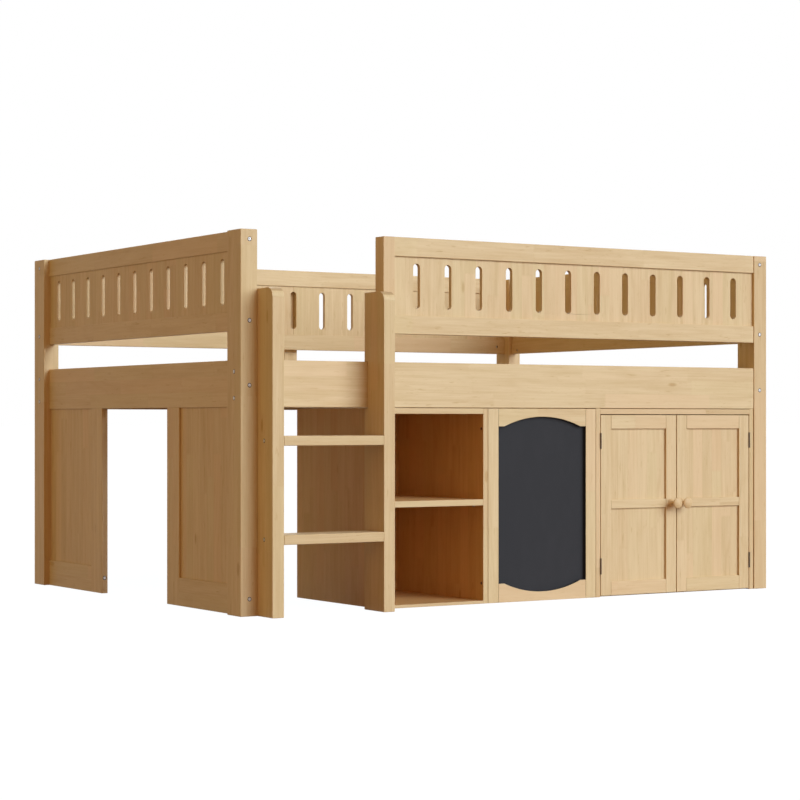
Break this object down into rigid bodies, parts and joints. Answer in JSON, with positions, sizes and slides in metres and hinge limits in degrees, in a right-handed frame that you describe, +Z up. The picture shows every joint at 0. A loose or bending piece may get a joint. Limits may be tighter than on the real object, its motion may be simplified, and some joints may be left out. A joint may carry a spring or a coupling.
{
  "type": "loft bed",
  "caption": "Half-height wooden loft bed with slotted guards, front ladder and panelled end, over a bookcase, a chalkboard and a two-door cupboard.",
  "frame": {"origin": "middle of the floor plan, on the floor, of the box round the whole bed with its ladder", "axes": "+X along the bed from the ladder end to the cupboard end, +Y from the front with the ladder to the back, +Z up"},
  "size_m": [2.116, 1.69, 1.18],
  "materials": {
    "pine_frame": "clear satin varnish on solid wood",
    "pine_board": "clear satin varnish on finger-jointed board",
    "deck_pine": "planed, unvarnished",
    "dowel_wood": "turned, unvarnished",
    "knob_wood": "turned and satin varnished",
    "chalkboard_black": "matt black chalkboard paint",
    "zinc_steel": "zinc plated",
    "dark_hinge_metal": "dark bronze"
  },
  "bodies": {
    "root": {"post_front_left": "pine_frame", "post_front_right": "pine_frame", "post_back_left": "pine_frame", "post_back_right": "pine_frame", "guard_post": "pine_frame", "back_guard_post": "pine_frame", "front_side_rail": "pine_frame", "back_side_rail": "pine_frame", "left_end_rail": "pine_frame", "right_end_rail": "pine_frame", "front_guard_rails": "pine_frame", "front_guard_board": "pine_board", "back_guard_rails": "pine_frame", "back_guard_board": "pine_board", "left_guard_rails": "pine_frame", "left_guard_board": "pine_board", "right_guard_rails": "pine_frame", "right_guard_board": "pine_board", "slat_bearers": "deck_pine", "centre_beam": "deck_pine", "beam_hangers": "zinc_steel", "bed_slats": "deck_pine", "near_wing_frame": "pine_frame", "near_wing_infill": "pine_board", "far_wing_frame": "pine_frame", "far_wing_infill": "pine_board", "ladder_stile_left": "pine_frame", "ladder_stile_right": "pine_frame", "ladder_rung_upper": "pine_frame", "ladder_rung_lower": "pine_frame", "frame_bolts": "zinc_steel", "barrel_nuts": "zinc_steel", "ladder_bolts": "zinc_steel", "wood_screws": "zinc_steel", "dowels": "dowel_wood", "bookcase_left_side": "pine_frame", "bookcase_right_side": "pine_frame", "bookcase_top": "pine_frame", "bookcase_bottom": "pine_frame", "bookcase_shelf": "pine_frame", "bookcase_back": "pine_board", "chalkboard_frame": "pine_frame", "chalkboard": "chalkboard_black", "cupboard_left_side": "pine_frame", "cupboard_right_side": "pine_frame", "cupboard_top": "pine_frame", "cupboard_bottom": "pine_frame", "cupboard_shelf": "pine_frame", "cupboard_back": "pine_board", "shelf_pins": "zinc_steel", "cupboard_catch": "dark_hinge_metal", "hinge_fixed_leaves": "dark_hinge_metal"},
    "left_door": {"left_door_frame": "pine_frame", "left_door_panels": "pine_board", "left_door_knob": "knob_wood", "left_door_metalwork": "dark_hinge_metal"},
    "right_door": {"right_door_frame": "pine_frame", "right_door_panels": "pine_board", "right_door_knob": "knob_wood", "right_door_metalwork": "dark_hinge_metal"}
  },
  "joints": [
    {"name": "left_door_swing", "type": "hinge", "parent": "root", "child": "left_door", "pos_m": [0.31825, -0.7487, 0.31], "axis": [0, 0, 1], "range_deg": [-110, 0]},
    {"name": "right_door_swing", "type": "hinge", "parent": "root", "child": "right_door", "pos_m": [0.97915, -0.7487, 0.31], "axis": [0, 0, 1], "range_deg": [0, 110]}
  ]
}
